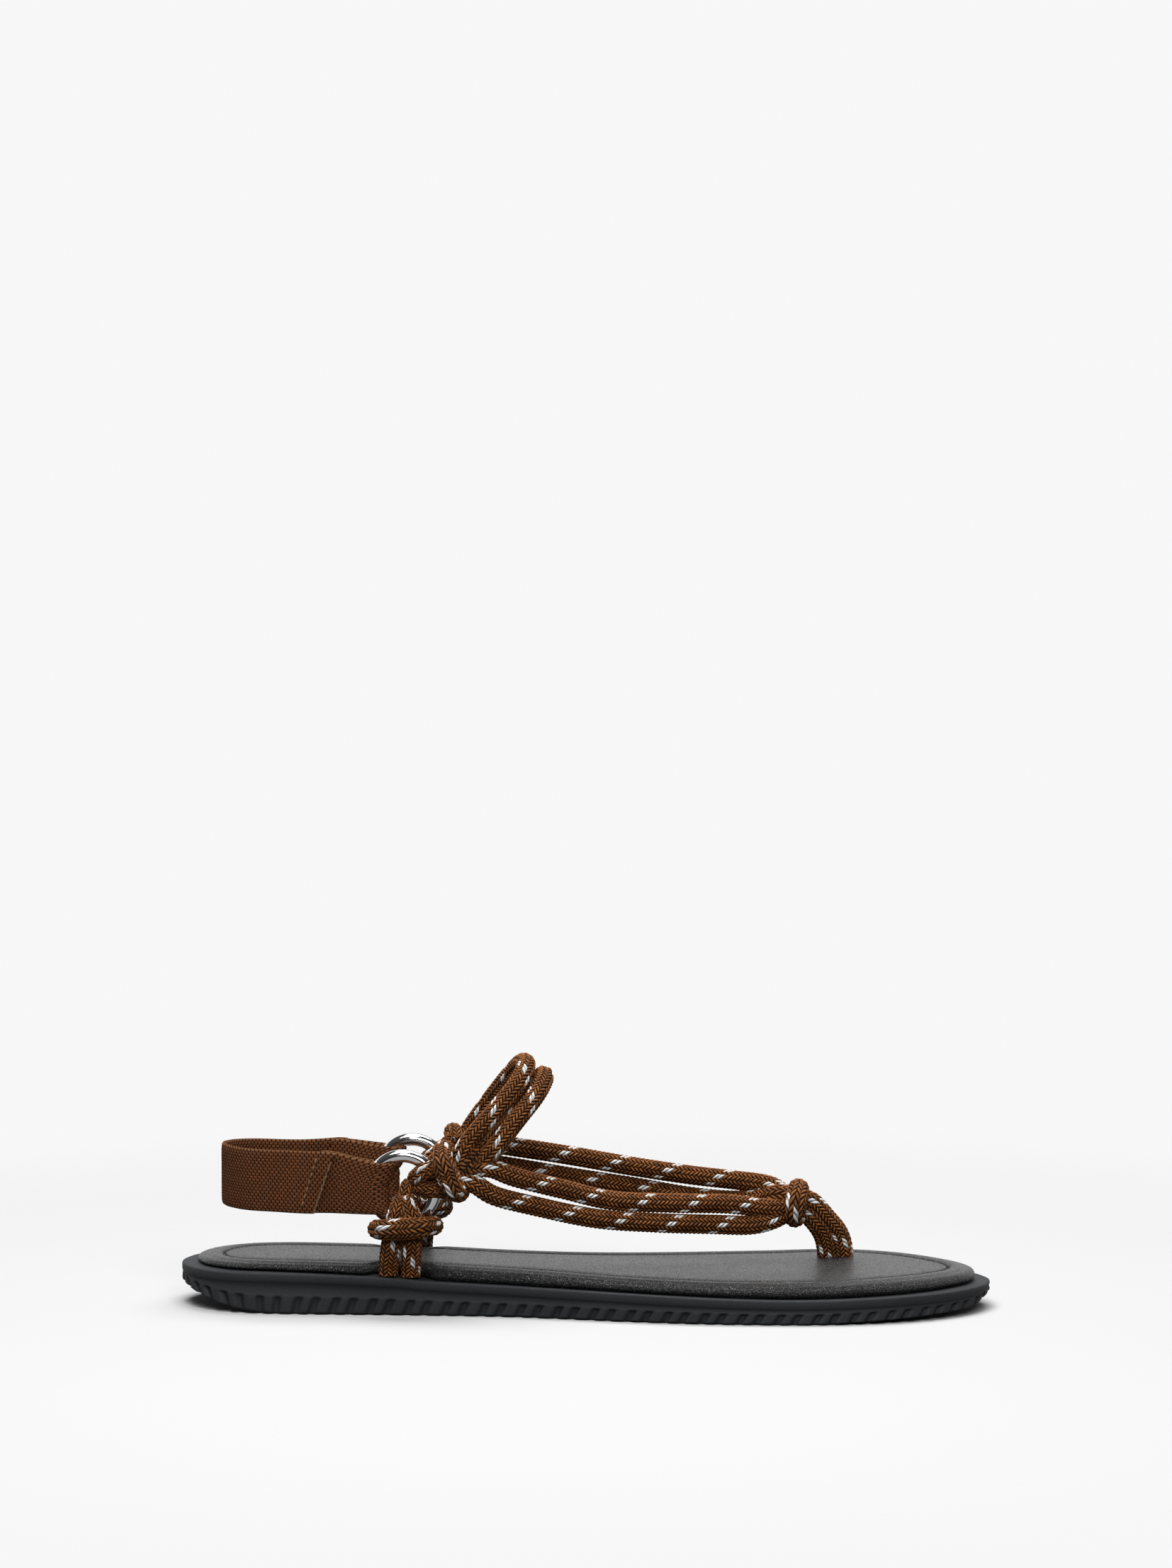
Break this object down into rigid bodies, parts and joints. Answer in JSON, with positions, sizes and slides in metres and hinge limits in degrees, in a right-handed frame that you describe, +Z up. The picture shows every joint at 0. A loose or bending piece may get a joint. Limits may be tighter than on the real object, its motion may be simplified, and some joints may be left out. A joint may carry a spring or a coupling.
{
  "type": "rope sandal",
  "caption": "Flat toe-post sandal with a padded footbed, braided rope straps, side rings and a webbing heel strap, for the right foot.",
  "frame": {"origin": "on the ground under the middle of the shoe's overall length and width", "axes": "+X from heel to toe, +Y to the inner side of the foot, +Z up from the sole"},
  "size_m": [0.262, 0.0864, 0.081],
  "materials": {
    "outsole": "matt moulded black rubber",
    "footbed": "black fine-grained leather, slightly glossy on its rolled edge",
    "rope": "braided brown rope with white flecks",
    "ring": "polished",
    "webbing": "brown twill webbing"
  },
  "bodies": {
    "root": {"outsole": "outsole", "footbed": "footbed", "rope_upper": "rope", "anchor_lateral": "rope", "anchor_medial": "rope", "ring_lateral": "ring", "ring_medial": "ring", "heel_strap": "webbing"}
  },
  "joints": []
}
